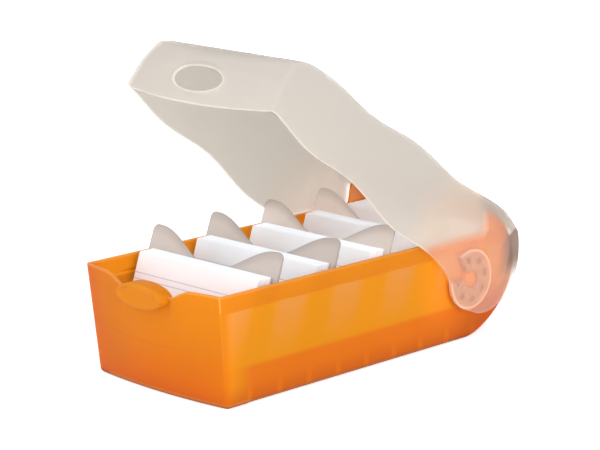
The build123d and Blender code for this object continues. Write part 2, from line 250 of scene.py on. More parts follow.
def tray_half_surface():
    """Half of the tray's outer face: the front wall, its corner and the side, and the base, tail and drum."""
    path, base_count = tray_profile()
    front_cells, corner_cells = 44, 6
    along = np.gradient(path, axis=0)
    along /= np.linalg.norm(along, axis=1)[:, None]
    inward = np.stack([-along[:, 1], along[:, 0]], 1)
    left = np.concatenate([np.zeros(1), np.cumsum(np.hypot(*np.diff(path[::-1], axis=0).T))])[::-1]
    side_round = tray_round * (0.8 + 0.2 * np.sqrt(np.clip(left / 4, 0, 1)))[:, None]

    levels = np.array([0.06, 0.13, 0.2, 0.3, 0.4, 0.5, 0.6, 0.7]) * rim_z
    band_levels = rim_z - band_height + np.array([-0.5, -0.25, 0, 0.25, 0.5])
    levels = np.concatenate([levels, band_levels, rim_z - np.array([5, 2.5, 1])])
    start = path + inward * side_round
    fan_start = int(np.searchsorted(path[:base_count, 0], base_rear - fan_length))
    top_line = path.copy()
    top_line[:fan_start, 1] = rim_z
    top_line[fan_start:] = tray_rim_side(start[-1], len(path) - fan_start)
    share = (levels[None, :] - start[:, 1:]) / np.maximum(top_line[:, 1:] - start[:, 1:], 0.01)
    least = np.linspace(0.01, 0.2, len(levels))[None, :]
    share = np.maximum.accumulate(np.clip(share, least, 0.97 + 0.02 * least), axis=1)
    share = np.concatenate([np.zeros((len(path), 1)), share, np.ones((len(path), 1))], 1)[:, :, None]
    side_line = start[:, None] * (1 - share) + top_line[:, None] * share
    lean = (front_top - base_front) * side_line[..., 1] / rim_z
    side_line[..., 0] += lean * np.maximum(0, 1 - (path[:, :1] - path[0, 0]) / lean_reach)
    side_y, side_z = side_line[..., 0], side_line[..., 1]
    side = np.stack([tray_side_x(side_y, side_z), side_y, side_z], 2)

    t = np.linspace(1, 0, 6)[:-1]
    shoulder_start = side[:, :1]
    path_x = tray_side_x(path[:, 0], path[:, 1])[:, None]
    edge = np.stack([path_x, path[:, :1], path[:, 1:]], 2)
    border = edge - np.stack([side_round, 0 * side_round, 0 * side_round], 2)
    side = np.concatenate([blend_three(shoulder_start, edge, border, t[None, :, None]), side], 1)

    half_base = tray_side_x(base_front, 0.0)
    x = np.linspace(0, half_base - tray_round, front_cells + 1)[:, None]
    notch = blend_four((notch_half, rim_z), (notch_half - notch_shoulder, rim_z),
                       (notch_foot + notch_run, rim_z - notch_depth + notch_rise),
                       (notch_foot, rim_z - notch_depth), 30)[::-1]
    heights = side[0, 5:, 2]
    high = np.interp(x[:, 0], notch[:, 0], notch[:, 1])[:, None]
    z = heights[None, :] - (rim_z - high) * smooth_step(heights, rim_z - notch_reach, rim_z)[None, :]
    widen = 1 + (tray_side_x(base_front, heights) - half_base) / (half_base - tray_round)
    front_x = x * widen[None, :]
    front = np.stack([front_x, tray_front_y(front_x, z), z], 2)
    foot = np.broadcast_to(front[:, :1], (front_cells + 1, 5, 3)).copy()
    foot_t = t[None, :]
    foot[..., 2] = blend_three(tray_round, 0, 0, foot_t)
    low_y = tray_front_y(x, 0)
    foot[..., 1] = blend_three(tray_front_y(x, tray_round), low_y, low_y + tray_round, foot_t)
    front = np.concatenate([foot, front], 1)

    turn = (np.arange(corner_cells) + 1)[:, None] / (corner_cells + 1)
    first, last = front[-1][None], side[0][None]
    knee = last.copy()
    knee[..., 1] -= tray_round - tray_side_x(base_front, last[..., 2]) + last[..., 0]
    corner = blend_three(first, knee, last, turn[:, :, None])
    wall = np.concatenate([front, corner, side])
    cells = grid_faces(wall.shape[0], wall.shape[1])

    sheet_rows = wall[front_cells:, 0]
    width_share = np.linspace(0, 1, front_cells + 1)[:, None]
    front_line = front[:, 0]
    sheet = np.repeat(sheet_rows[None], front_cells + 1, 0)
    sheet[..., 0] *= width_share
    fade = np.maximum(0, 1 - np.arange(len(sheet_rows)) / (corner_cells + 1))
    sheet[..., 1] += (front_line[:, 1] - sheet_rows[0, 1])[:, None] * fade
    sheet_cells = grid_faces(sheet.shape[0], sheet.shape[1])[:, ::-1] + wall.shape[0] * wall.shape[1]
    return np.concatenate([wall.reshape(-1, 3), sheet.reshape(-1, 3)]), np.concatenate([cells, sheet_cells])


def both_halves(points, faces):
    """A half that lies at positive x, and its mirror image with its faces turned round."""
    mirrored = faces[:, ::-1] + len(points)
    return np.concatenate([points, points * (-1, 1, 1)]), np.concatenate([faces, mirrored])


tray = shell("tray_shell", *both_halves(*tray_half_surface()), tray_floor, tray_lip, tray_wall_share)
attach(tray, "tray")
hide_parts("tray")


class Socket:
    """One output of a node, on which + - * / and ** add Math nodes."""

    def __init__(self, graph, node, output=0):
        self.graph = graph
        self.node = node
        self.link = node.outputs[output] if node.outputs else None

    def out(self, output):
        """Another output of the same node."""
        return Socket(self.graph, self.node, output)

    def math(self, operation, *values):
        """A Math node of that operation on this socket and the other values."""
        return self.graph.node("ShaderNodeMath", {"operation": operation}, dict(enumerate((self, *values))))

    def __add__(self, other):
        return self.math("ADD", other)

    def __sub__(self, other):
        return self.math("SUBTRACT", other)

    def __rsub__(self, other):
        return self.math("MULTIPLY", -1) + other

    def __mul__(self, other):
        return self.math("MULTIPLY", other)

    def __truediv__(self, other):
        return self.math("DIVIDE", other)

    def __pow__(self, other):
        return self.math("POWER", other)

    __radd__ = __add__
    __rmul__ = __mul__

    def step(self, start, end):
        """0 below start and 1 above end, with a smooth rise between them."""
        limits = {"Value": self, "From Min": start, "From Max": end}
        return self.graph.node("ShaderNodeMapRange", {"interpolation_type": "SMOOTHSTEP"}, limits)

    def fall(self, start, end):
        """1 below start and 0 above end, with a smooth fall between them."""
        return 1 - self.step(start, end)

    def line(self, half_width):
        """1 where this is 0, falling evenly to 0 at the half-width on either side."""
        return (1 - self.math("ABSOLUTE") / half_width).math("MAXIMUM", 0)


class Graph:
    """The nodes of one material, or of the sky."""

    def __init__(self, owner):
        self.owner = owner
        owner.use_nodes = True
        self.tree = owner.node_tree
        self.tree.nodes.clear()

    def node(self, kind, settings=None, values=None, output=0):
        """A node of any kind: its settings are set first, then each socket gets its value or link."""
        node = self.tree.nodes.new(kind)
        for key, value in (settings or {}).items():
            setattr(node, key, value)
        for key, value in (values or {}).items():
            if isinstance(value, Socket):
                self.tree.links.new(value.link, node.inputs[key])
            else:
                node.inputs[key].default_value = value
        return Socket(self, node, output)

    def place(self):
        """The x, y and z of the surface point in millimetres, as three sockets."""
        coordinates = self.node("ShaderNodeTexCoord", output="Object")
        parts = self.node("ShaderNodeSeparateXYZ", values={0: coordinates})
        return parts.out("X") / MM, parts.out("Y") / MM, parts.out("Z") / MM

    def noise(self, scale, detail=2.0):
        """Soft noise from 0 to 1, with about scale blobs to the metre."""
        coordinates = self.node("ShaderNodeTexCoord", output="Object")
        values = {"Vector": coordinates, "Scale": scale, "Detail": detail}
        return self.node("ShaderNodeTexNoise", values=values)

    def mix(self, share, first, second):
        """A colour between the two, by share. A tuple is a colour written as 0 to 255 on a screen."""
        ends = [linear(end) if isinstance(end, tuple) else end for end in (first, second)]
        values = {0: share, 6: ends[0], 7: ends[1]}
        return self.node("ShaderNodeMix", {"data_type": "RGBA"}, values, output=2)

    def coat(self, colour, *coats):
        """The colour under further coats in turn, each given as its share and its colour."""
        for share, coat_colour in coats:
            colour = self.mix(share, colour, coat_colour)
        return colour

    def bump(self, height, strength, distance=0.0002):
        """The normal that a height in metres gives."""
        values = {"Height": height, "Strength": strength, "Distance": distance}
        return self.node("ShaderNodeBump", values=values)

    def attribute(self, name):
        """A number that the mesh carries at its points or faces."""
        return self.node("ShaderNodeAttribute", {"attribute_name": name}, output="Fac")

    def finish(self, shader, output="ShaderNodeOutputMaterial"):
        """Puts the shader on the output and gives the material, or the sky."""
        self.node(output, values={"Surface": shader})
        return self.owner


def linear(colour):
    """A colour written as 0 to 255 on a screen, as the renderer's linear values."""
    screen = np.array(colour) / 255
    values = np.where(screen <= 0.04, screen / 12.92, ((screen + 0.055) / 1.055) ** 2.4)
    return (*values.tolist(), 1)


black = (0, 0, 0)
tray_graph = Graph(bpy.data.materials.new("orange frosted polypropylene"))
x, y, z = tray_graph.place()
cloud = tray_graph.noise(40.0)
tray_grain = tray_graph.noise(2600.0)

# The moulding's lower part is painted darker and redder: painted shade. On the sides its border is sharp,
# where the light that comes through the cards ends, and on the front it is soft. The left of the front, the
# rim band and the foot get painted shade, and the guide ribs leave lighter painted spots in the foot's shade.
band_foot = rim_z - band_height
on_side = y.step(-80, -73)
on_front = y.fall(-78.5, -77.5)
front_low = z.fall(2, 36)
side_low = z.fall(15.5, 18.3) * (0.8 * y.step(-74, -60) + 0.2)
low_zone = front_low + (side_low - front_low) * on_side
rim_band_shade = z.step(band_foot - 0.2, band_foot + 0.2) * on_side
front_shade = (1 - on_side) * (x.fall(-42, -2) * 0.3 + 0.36)
rib_pitch = 18.0
rib_light_spots = ((y - 8.9) * (2 * pi / rib_pitch)).math("COSINE").step(0.7, 1.0) * z.fall(4, 13) * on_side
foot_shade = z.fall(0, 12) * 0.7 + x.fall(-44, -28) * (1 - on_side) * 0.85

# Painted light: behind the side the card packs show through the wall as paler, leaning bands, one to each
# pack, and a painted glow runs down the panel's front edge.
pack_pitch = 34.7
pack_light = ((y - z * 0.25 + 14.6) * (2 * pi / pack_pitch)).math("COSINE").step(-0.6, 0.7) * z.step(14, 44)
corner_glow = (y - z * 0.12 + 71.3).line(3.57) * z.step(26, 45)
glow = pack_light.math("MAXIMUM", corner_glow) * z.fall(band_foot - 0.2, band_foot + 0.2) * on_side

# A painted highlight runs down the front corner and another down from each notch, and a faint dark line is
# painted across the front.
corner_x = x.math("ABSOLUTE") - z * (tray_draft / rim_z) - (base_half - 0.9)
corner_highlight = corner_x.line(0.385) * y.fall(-79, -76) * (z.step(42.5, 43.5) * 0.85 + 0.15)
front_dark_line = (z - 22.5 - x ** 2 * 0.0016).line(0.278) * on_front * x.fall(12, 19)
notch_highlight = (x.math("ABSOLUTE") - 15.5).line(0.303) * on_front * z.step(33, 37)
on_button = y.fall(-86.8, -85.8)

# Painted shade makes the drum and the tail redder and the inside darker below the rim; painted light makes
# its rise behind the cards pale, and a faint painted glow lies on the tray under the cheek.
from_hinge = ((y - hinge_y) ** 2 + (z - hinge_z) ** 2).math("SQRT")
drum_shade = from_hinge.step(26, 34) * y.step(hinge_y, hinge_y + 12)
tail = y.step(55, 95) * z.fall(18, 30)
inner_face = tray_graph.attribute("inner")
inside = inner_face * y.step(-73.5, -71.5) * z.fall(40.8, 42.4)
rise_inside_light = inner_face * z.step(50, 52) * y.step(80, 83)
under_cheek_glow = from_hinge.fall(22, 36) * z.step(8, 20)
tray_colour = tray_graph.coat(
    tray_graph.mix(low_zone, (253, 168, 24), (250, 138, 26)),
    # Painted shade on the left of the front, the rim band and the foot, with painted light at the ribs.
    (front_shade + rim_band_shade * 0.4, (214, 115, 27)),
    (foot_shade * (1 - rib_light_spots), (228, 112, 34)),
    # Painted shade: a dark line along the bottom edge.
    (z.fall(0.4, 2.8) * 0.85, (160, 66, 26)),
    # Painted highlight down the front corner, then the painted dark line across the front, then a painted
    # highlight below each notch.
    (corner_highlight * 0.8, (255, 214, 128)),
    (front_dark_line * 0.3, (196, 88, 28)),
    (notch_highlight * 0.35, (255, 200, 100)),
    # Painted light of the packs through the side wall, and the painted glow at the panel's edge.
    (glow * 0.8, (250, 172, 84)),
    (on_button * 0.6, (242, 162, 44)),
    # Painted highlight: a pale line along the free edges of the rim.
    (tray_graph.attribute("edge") * 0.5, (255, 196, 110)),
    # Painted shade on the drum, the tail and the inside, and painted light on the rise.
    (drum_shade * 0.5, (228, 98, 44)),
    (tail * 0.5, (206, 76, 28)),
    (inside * 0.65, (170, 90, 34)),
    (rise_inside_light * 0.7, (255, 206, 160)),
)
tray_material = tray_graph.finish(tray_graph.node("ShaderNodeBsdfPrincipled", values={
    "Base Color": tray_colour,
    "Roughness": 0.34 + cloud * 0.08,
    "IOR": 1.2,
    "Specular IOR Level": 0.15,
    "Transmission Weight": 0.45,
    # A faint painted glow on the tray under the cheek.
    "Emission Color": tray_graph.mix(under_cheek_glow, black, (255, 110, 44)),
    "Emission Strength": 0.085,
    "Normal": tray_graph.bump(tray_grain, 0.12),
}))
tray.data.materials.append(tray_material)


# The latch button: an oval boss, moulded on the tray's front wall in the same orange polypropylene, with a
# softened rim round a shallow dish for the thumb. The lid's front wall snaps over it.
latch_z = 44.07
latch_half_width = 14.1
latch_half_height = 5.5
latch_front_y = -89.59
latch_back_y = -82.19
latch_inset = np.array([50, 0, 0, 0.2, 0.8, 1.5, 2.1, 3.2, 4.4, 50])
latch_dip = np.array([0, 0, 0, 0.25, 0, 0, 0.3, 0.45, 0.5, 0.5])
latch_y = np.where(np.arange(10) < 2, latch_back_y, latch_front_y + latch_dip)
latch_y[2] = latch_front_y + 0.8


def oval_rings(half_width, half_height, inset, y, centre_z):
    """Ovals about an axis along y, each drawn in by its inset; past the half-height one closes to a point."""
    turn = np.linspace(0, 2 * pi, 73)
    width = np.where(inset < half_height, half_width - inset, 0)[:, None]
    height = np.maximum(half_height - inset, 0)[:, None]
    place = np.broadcast_to(y[:, None], (len(y), len(turn)))
    return np.stack([width * np.cos(turn), place, centre_z + height * np.sin(turn)], 2)


rings = oval_rings(latch_half_width, latch_half_height, latch_inset, latch_y, latch_z)
latch = build("latch_button", rings.reshape(-1, 3), grid_faces(*rings.shape[:2])[:, ::-1])
latch.data.materials.append(tray_material)
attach(latch, "tray")


# The pivot studs: two round bosses, moulded on the tray's sides in the same orange polypropylene. The lid's
# bearing pads snap over them and turn on them.
stud_radius = 4.0
stud_start = 39.5
stud_end = 44.0
stud_x = np.array([stud_start, stud_start, stud_end - 0.5, stud_end - 0.15, stud_end, stud_end])
stud_ring = np.array([0, stud_radius, stud_radius, stud_radius - 0.15, stud_radius - 0.5, 0])
turn = np.linspace(0, 2 * pi, 49)
rings = np.stack([
    np.broadcast_to(stud_x[:, None], (6, 49)),
    hinge_y + stud_ring[:, None] * np.cos(turn),
    hinge_z + stud_ring[:, None] * np.sin(turn),
], 2)
studs = build("pivot_studs", *both_halves(rings.reshape(-1, 3), grid_faces(6, 49)[:, ::-1]))
studs.data.materials.append(tray_material)
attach(studs, "tray")


# The guide ribs: short leaning ribs, moulded inside the tray's sides in the same orange polypropylene. Each
# pair keeps the foot of a divider in its place.
card_lean = radians(19)
divider_count = 4
divider_pitch = 35.0
divider_foot = -63.09
divider_thickness = 1.0
rib_gap = 0.4
rib_thickness = 1.2
rib_length = 14.0
rib_inner = 37.9
rib_outer = 39.7


def leaning_block(x_low, x_high, foot_y, thickness, height):
    """The eight corners and six faces of a plate that stands on the floor at foot_y and leans back."""
    corners = np.meshgrid((x_low, x_high), (0, thickness), (0, height), indexing="ij")
    u, v, w = (corner.ravel() for corner in corners)
    y = foot_y + v * cos(card_lean) + w * sin(card_lean)
    z = tray_floor - v * sin(card_lean) + w * cos(card_lean)
    faces = np.array([(0, 1, 3, 2), (4, 6, 7, 5), (0, 4, 5, 1), (2, 3, 7, 6), (0, 2, 6, 4), (1, 5, 7, 3)])
    return np.stack([u, y, z], 1), faces


rib_points, rib_faces = [], []
for number in range(divider_count):
    foot = divider_foot + number * divider_pitch
    front_rib_y = foot - (rib_gap + rib_thickness) / cos(card_lean)
    rear_rib_y = foot + (divider_thickness + rib_gap) / cos(card_lean)
    for rib_y in (front_rib_y, rear_rib_y):
        points, faces = leaning_block(rib_inner, rib_outer, rib_y, rib_thickness, rib_length)
        rib_faces.append(faces + sum(len(p) for p in rib_points))
        rib_points.append(points)
ribs = build("guide_ribs", *both_halves(np.concatenate(rib_points), np.concatenate(rib_faces)))
ribs.data.shade_flat()
ribs.data.materials.append(tray_material)
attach(ribs, "tray")


# The lid: one moulded shell of clear frosted polypropylene, hinged behind the last pack. Its roof and its
# free side edges run in waves along the box, and an oval hole in its front wall takes the latch button. It is
# worked out in its shut place and then turned open about the hinge.
lid_open_angle = radians(-lid_hinge["range_deg"][0])
lid_wall = 1.3
lid_radius = 37.1
lid_rear_angle = radians(63.3)
lid_skirt_half = 45.7
lid_rim_half = 44.3
lid_side_slope = 0.19
lid_front_slope = 0.28
lid_rim_setback = 0.6
lid_front_y = -85.39
lid_front_bow = 4.4
lid_round = 2.4
lid_lip = 0.35
wave_pitch = 66.0
wave_depth = 2.4
nose_drop = 3.2
nose_length = 12.0
edge_front_z = 35.87
edge_fall = 13.6
edge_wave = 1.5
edge_front_dip = 4.6
lid_rise = 56.4
lid_top_taper = 1.0
cheek_foot = radians(-65)
cheek_radius = 14.5
cheek_growth = 1.2
cheek_step = 20.4
hole_half_width = 14.7
hole_half_height = 6.1
ring_width = 2.2
ring_rise = 0.6
ring_slope = 0.8


def lid_roof(y):
    """Roof height: a cosine wave less a nose that drops by a square law, and an arc behind the hinge."""
    wave = wave_depth * (1 - np.cos(2 * pi * (y - hinge_y) / wave_pitch)) / 2
    nose = nose_drop * (np.maximum(0, front_top + nose_length - y) / nose_length) ** 2
    arc = np.sqrt(np.maximum(0, lid_radius ** 2 - (y - hinge_y) ** 2))
    return hinge_z + np.where(y > hinge_y, arc, lid_radius - wave - nose)


def lid_edge(y):
    """Height of the free side edge: a straight fall to the rear with the roof's wave turned over."""
    share = (y - front_top) / (hinge_y - front_top)
    return edge_front_z - edge_fall * share - edge_wave * np.cos(2 * pi * (y - hinge_y) / wave_pitch)


def cheek_outline():
    """The cheek's free outline as y and z: a cubic step, an arc under the hinge, and a snail to the roof."""
    start = np.array([hinge_y - cheek_step, lid_edge(hinge_y - cheek_step)])
    low_angle = -pi - cheek_foot
    end = np.array([hinge_y + cheek_radius * cos(low_angle), hinge_z + cheek_radius * sin(low_angle)])
    chord = np.linalg.norm(end - start)
    t = np.linspace(0, 1, 24)[:, None]
    leave = chord * np.array([0.97, -0.24])
    arrive = chord * np.array([0.89, -0.45])
    step = ((2 * t ** 3 - 3 * t ** 2 + 1) * start + (t ** 3 - 2 * t ** 2 + t) * leave
            + (3 * t ** 2 - 2 * t ** 3) * end + (t ** 3 - t ** 2) * arrive)
    snail_angle = np.linspace(cheek_foot, lid_rear_angle, 90)
    angle = np.concatenate([np.linspace(low_angle, cheek_foot, 24), snail_angle[1:]])
    share = np.maximum(0, angle - cheek_foot) / (lid_rear_angle - cheek_foot)
    radius = cheek_radius + (lid_radius - cheek_radius) * share ** cheek_growth
    snail = np.stack([hinge_y + radius * np.cos(angle), hinge_z + radius * np.sin(angle)], 1)
    return np.concatenate([step, snail[1:]])


def lid_plan(z):
    """Front and rear half-widths, bow and corner of the lid's plan, straight between three levels of z."""
    levels = (edge_front_z, rim_z, rim_z + lid_rise)
    top_half = lid_rim_half - lid_side_slope * lid_rise
    front_half = np.interp(z, levels, (lid_skirt_half, lid_rim_half, top_half))
    rear_half = np.interp(z, levels, (lid_skirt_half, lid_skirt_half, lid_skirt_half - lid_top_taper))
    bow = np.interp(z, levels, (lid_front_bow, lid_front_bow, lid_front_bow - lid_top_taper))
    top_setback = lid_rim_setback + lid_front_slope * lid_rise
    corner_y = lid_front_y + np.interp(z, levels, (0, lid_rim_setback, top_setback))
    return front_half, rear_half, bow, corner_y


# Stations run round half of the lid: along the front wall from its middle, round the corner, along the side.
patch_cells, outer_cells, corner_cells, side_cells, tip_cells = 19, 10, 6, 112, 14
patch_half_width, patch_half_height = 21.5, 9.6
front_cells = patch_cells + outer_cells
outline = cheek_outline()
tip = int(np.argmax(outline[:, 0]))
roof_end_y = hinge_y + lid_radius * cos(lid_rear_angle)
side_start_y = lid_front_y + lid_round
side_y = np.concatenate([
    np.linspace(side_start_y, roof_end_y, side_cells + 1)[1:],
    roof_end_y + (outline[tip, 0] - roof_end_y) * np.linspace(0, 0.985, tip_cells + 1)[1:],
])
station_count = front_cells + 1 + corner_cells + len(side_y)
front = slice(0, front_cells + 1)
corner = slice(front_cells + 1, front_cells + 1 + corner_cells)
side = slice(front_cells + 1 + corner_cells, station_count)
corner_t = (np.arange(corner_cells) + 1)[:, None] / corner_cells
column = np.arange(front_cells + 1)[:, None]
lean_fade = np.maximum(0, 1 - (side_y - side_start_y) / lean_reach)[:, None]


def lid_wall_place(z, front_x=None):
    """x and y of the outer wall at heights z for each station: the bowed front, the corner and the side."""
    front_half, rear_half, bow, corner_y = lid_plan(z)
    slope = (rear_half - front_half) / (hinge_y + 1.5 * lid_radius - corner_y)
    x, y = np.empty_like(z), np.empty_like(z)
    inner = front_half[front] - lid_round
    beyond = (column - patch_cells) / outer_cells
    regular = np.where(column <= patch_cells, patch_half_width * column / patch_cells,
                       patch_half_width + (inner - patch_half_width) * beyond)
    x[front] = regular if front_x is None else front_x(regular)
    y[front] = corner_y[front] - bow[front] * (1 - (x[front] / front_half[front]) ** 2)
    half, start, flat, curve = front_half[corner], corner_y[corner], slope[corner], bow[corner]
    meet_x = half - lid_round
    x[corner] = blend_three(meet_x, half, half + flat * lid_round, corner_t)
    y[corner] = blend_three(start - curve * (1 - (meet_x / half) ** 2), start, start + lid_round, corner_t)
    y[side] = side_y[:, None] + (corner_y[side] - lid_front_y) * lean_fade
    x[side] = front_half[side] + slope[side] * (y[side] - corner_y[side])
    return x, y


def lid_half_surface():
    """Half of the lid's outer face: the wall from its free edge to a rounded shoulder, and the roof."""
    top = np.full((station_count, 1), rim_z)
    for _ in range(8):
        top = lid_roof(lid_wall_place(top)[1])
    past_roof = side_y > roof_end_y + 1e-6
    top[side][past_roof, 0] = np.interp(side_y[past_roof], outline[tip:, 0][::-1], outline[tip:, 1][::-1])
    shoulder = np.full((station_count, 1), lid_round)
    shoulder[side, 0] = lid_round * (0.6 + 0.4 * np.sqrt(np.clip((roof_end_y - side_y) / 3, 0, 1)))
    shoulder[side][past_roof] = 0
    top[side][past_roof] = np.minimum(top[side][past_roof], top[side][~past_roof][-1] - 0.6 * lid_round)
    low_x = lid_wall_place(np.full((station_count, 1), edge_front_z))[0]
    low = np.full((station_count, 1), lid_edge(front_top))
    low[front] -= edge_front_dip * (1 - (low_x[front] / lid_skirt_half) ** 2)
    beside = side_y < hinge_y - cheek_step
    low[side][beside, 0] = lid_edge(side_y[beside])
    low[side][~beside, 0] = np.interp(side_y[~beside], outline[:tip + 1, 0], outline[:tip + 1, 1])

    below, across, over = 3, 22, 5
    wall_top = top - shoulder
    share = (np.array([latch_z - patch_half_height, latch_z + patch_half_height]) - low[patch_cells]) / (
        wall_top[patch_cells] - low[patch_cells])
    start, stop = (low + (wall_top - low) * s for s in share)
    start[:patch_cells + 1] = latch_z - patch_half_height
    stop[:patch_cells + 1] = latch_z + patch_half_height
    height = np.concatenate([
        low + (start - low) * np.linspace(0, 1, below, endpoint=False),
        start + (stop - start) * np.linspace(0, 1, across, endpoint=False),
        stop + (wall_top - stop) * np.linspace(0, 1, over + 1),
    ], 1)

    # Round the hole the cells of the patch turn from a rectangle into ovals, ring by ring.
    block_columns, block_rows, rings = 12, 4, 7
    i = np.arange(patch_cells + 1)[:, None]
    j = np.arange(across + 1)[None, :] - across // 2
    ring = np.maximum(np.maximum(i - block_columns, np.abs(j) - block_rows), 0)
    u, v = i / (block_columns + ring), j / (block_rows + ring)
    angle = np.where(u >= np.abs(v), pi / 4 * v / np.maximum(u, 1e-9),
                     np.sign(v) * (pi / 2 - pi / 4 * u / np.maximum(np.abs(v), 1e-9)))
    away = (ring / rings) ** 1.25
    oval_x, oval_z = hole_half_width * np.cos(angle), hole_half_height * np.sin(angle)
    grow_x = (patch_half_width * u - oval_x) * away
    grow_z = (patch_half_height * v - oval_z) * away
    patch_x, patch_z = oval_x + grow_x, latch_z + oval_z + grow_z
    off_edge = np.hypot(grow_x, grow_z)
    blend = np.clip((ring_width - off_edge) / ring_slope, 0, 1)
    collar = ring_rise * blend ** 2 * (3 - 2 * blend)
    in_patch = (slice(0, patch_cells + 1), slice(below, below + across + 1))
    height[in_patch] = patch_z

    def bend_columns(regular):
        bent = np.broadcast_to(regular, height[front].shape).copy()
        bent[in_patch] = patch_x
        return bent

    x, y = lid_wall_place(height, bend_columns)
    y[in_patch] -= collar
    wall = np.stack([x, y, height], 2)

    # The shoulder turns from the wall's top into the roof's border, one roundness in from the wall.
    x_top, y_top = lid_wall_place(top)
    x_border, y_border = x_top.copy(), y_top.copy()
    y_border[front] += lid_round
    x_border[side] -= shoulder[side]
    first, last = front_cells, front_cells + corner_cells
    x_border[corner] = x_top[first] + (x_top[last] - lid_round - x_top[first]) * corner_t
    y_border[corner] = y_border[first] + (y_top[last] - y_border[first]) * corner_t
    z_border = np.where(shoulder > 0, lid_roof(y_border), top)
    t = np.linspace(0, 1, 6)[1:]
    turn = np.stack([
        blend_three(x[:, -1:], x_top, x_border, t),
        blend_three(y[:, -1:], y_top, y_border, t),
        blend_three(height[:, -1:], top, z_border, t),
    ], 2)
    wall = np.concatenate([wall, turn], 1)
    cells = grid_faces(wall.shape[0], wall.shape[1])
    hole = np.zeros((wall.shape[0] - 1, wall.shape[1] - 1), bool)
    middle = below + across // 2
    hole[:block_columns, middle - block_rows:middle + block_rows] = True
    cells = cells[~hole.ravel()]

    roof_rows = np.flatnonzero(side_y <= roof_end_y + 1e-6)[-1] + 1 + corner_cells + 1
    border = wall[front_cells:front_cells + roof_rows, -1]
    front_line = wall[:front_cells + 1, -1]
    width_share = front_line[:, 0] / front_line[-1, 0]
    roof_x = width_share[:, None] * border[None, :, 0]
    roof_y = np.broadcast_to(border[None, :, 1], roof_x.shape).copy()
    fade = 1 - np.arange(corner_cells + 1) / corner_cells
    roof_y[:, :corner_cells + 1] += (front_line[:, 1] - border[0, 1])[:, None] * fade
    roof = np.stack([roof_x, roof_y, lid_roof(roof_y)], 2)
    roof_cells = grid_faces(roof.shape[0], roof.shape[1])
    points = np.concatenate([wall.reshape(-1, 3), roof.reshape(-1, 3)])
    return points, np.concatenate([cells, roof_cells + wall.shape[0] * wall.shape[1]])


def turn_lid(points):
    """The points turned open about the hinge."""
    y, z = points[:, 1] - hinge_y, points[:, 2] - hinge_z
    c, s = cos(-lid_open_angle), sin(-lid_open_angle)
    return np.stack([points[:, 0], hinge_y + y * c - z * s, hinge_z + y * s + z * c], 1)


lid_points, lid_faces = both_halves(*lid_half_surface())
lid = shell("lid_shell", turn_lid(lid_points), lid_faces, lid_wall, lid_lip)
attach(lid, "lid")
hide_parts("lid")

lid_graph = Graph(bpy.data.materials.new("clear frosted polypropylene"))
x, y, z = lid_graph.place()
lid_grain = lid_graph.noise(2200.0)
lid_cloud = lid_graph.noise(30.0)

# Round the hinge the cheeks lie close over the tray and let it be seen, below the line of its rim and rise.
along, up = y - hinge_y, z - hinge_z
from_hinge = (along ** 2 + up ** 2).math("SQRT")
on_cheek = x.math("ABSOLUTE").step(42.5, 43.5)
below_rise = z.fall(59, 62.5) * y.step(83, 87)
below_line = (z.fall(46.8, 51.4) + below_rise).math("MINIMUM", 1)
behind_drum = along.step(2, 12) * from_hinge.step(29.8, 33.8)
see_through = on_cheek * from_hinge.fall(33, 46) * (1 - behind_drum) * (0.9 * below_line + 0.1)

# Painted shade darkens the cheeks' curved rear edge, which is thick, and painted warm light from the tray
# falls on their walls near it.
turn_share = (up.math("ARCTAN2", along) + (lid_open_angle - cheek_foot)) / (lid_rear_angle - cheek_foot)
snail_share = turn_share.math("MAXIMUM", 0).math("MINIMUM", 1) ** cheek_growth
from_edge = from_hinge - snail_share * (lid_radius - cheek_radius) - cheek_radius
rear_edge_shade = from_edge.step(-11, -6) * on_cheek * turn_share.step(0.65, 0.86) * turn_share.fall(1.01, 1.03)
off_rear_shade = 1 - rear_edge_shade
inner_face = lid_graph.attribute("inner")
near_tray_warm_light = x.math("ABSOLUTE").step(38, 43) * from_hinge.fall(32, 64) * (1 - see_through) * off_rear_shade
free_edge_glow = lid_graph.attribute("edge") * (1 - rear_edge_shade * 0.8)
# Painted shade also darkens the cheeks over the drum and the lid's inner faces, and the free edges get a
# painted pale glow.
lid_colour = lid_graph.coat(
    lid_graph.mix(lid_cloud, (232, 227, 221), (228, 223, 217)),
    (rear_edge_shade * 0.85, (142, 110, 92)),
    (near_tray_warm_light * (1 - behind_drum) * (1 - inner_face) * 0.9, (246, 228, 212)),
    (behind_drum * on_cheek * off_rear_shade * 0.5, (198, 180, 166)),
    (inner_face * 0.6, (202, 199, 190)),
    (free_edge_glow, (255, 250, 242)),
)
# A painted orange glow where the tray is seen through the cheeks.
through_glow = lid_graph.mix(see_through * off_rear_shade, black, (255, 150, 90))
lid.data.materials.append(lid_graph.finish(lid_graph.node("ShaderNodeBsdfPrincipled", values={
    "Base Color": lid_colour,
    "Roughness": 0.84 + lid_cloud * 0.06,
    "IOR": 1.12,
    "Transmission Weight": 0.6,
    # The free edges and the see-through cheeks glow faintly: painted light.
    "Emission Color": lid_graph.mix(free_edge_glow, through_glow, (255, 236, 215)),
    "Emission Strength": 0.1,
    "Alpha": 1 - see_through * off_rear_shade * 0.67,
    "Normal": lid_graph.bump(lid_grain, 0.1),
})))


# The bearing pads: a C-shaped disc, moulded inside each cheek in the lid's clear frosted polypropylene, whose
# mouth lets it be pushed over the stud. Six round pockets in its face save material.
pad_radius = 13.9
pad_bore = 4.05
pad_inner_face = 42.56
pad_outer_face = 44.45
pad_edge = 0.3
mouth_turn = radians(184)
mouth_half = radians(27)
pocket_circle = 9.4
pocket_radius = 1.7
pocket_depth = 1.0
pocket_pitch = radians(47)
first_pocket = mouth_turn + radians(62.5)
pocket_count = 6
pocket_angle = first_pocket + pocket_pitch * np.arange(pocket_count)


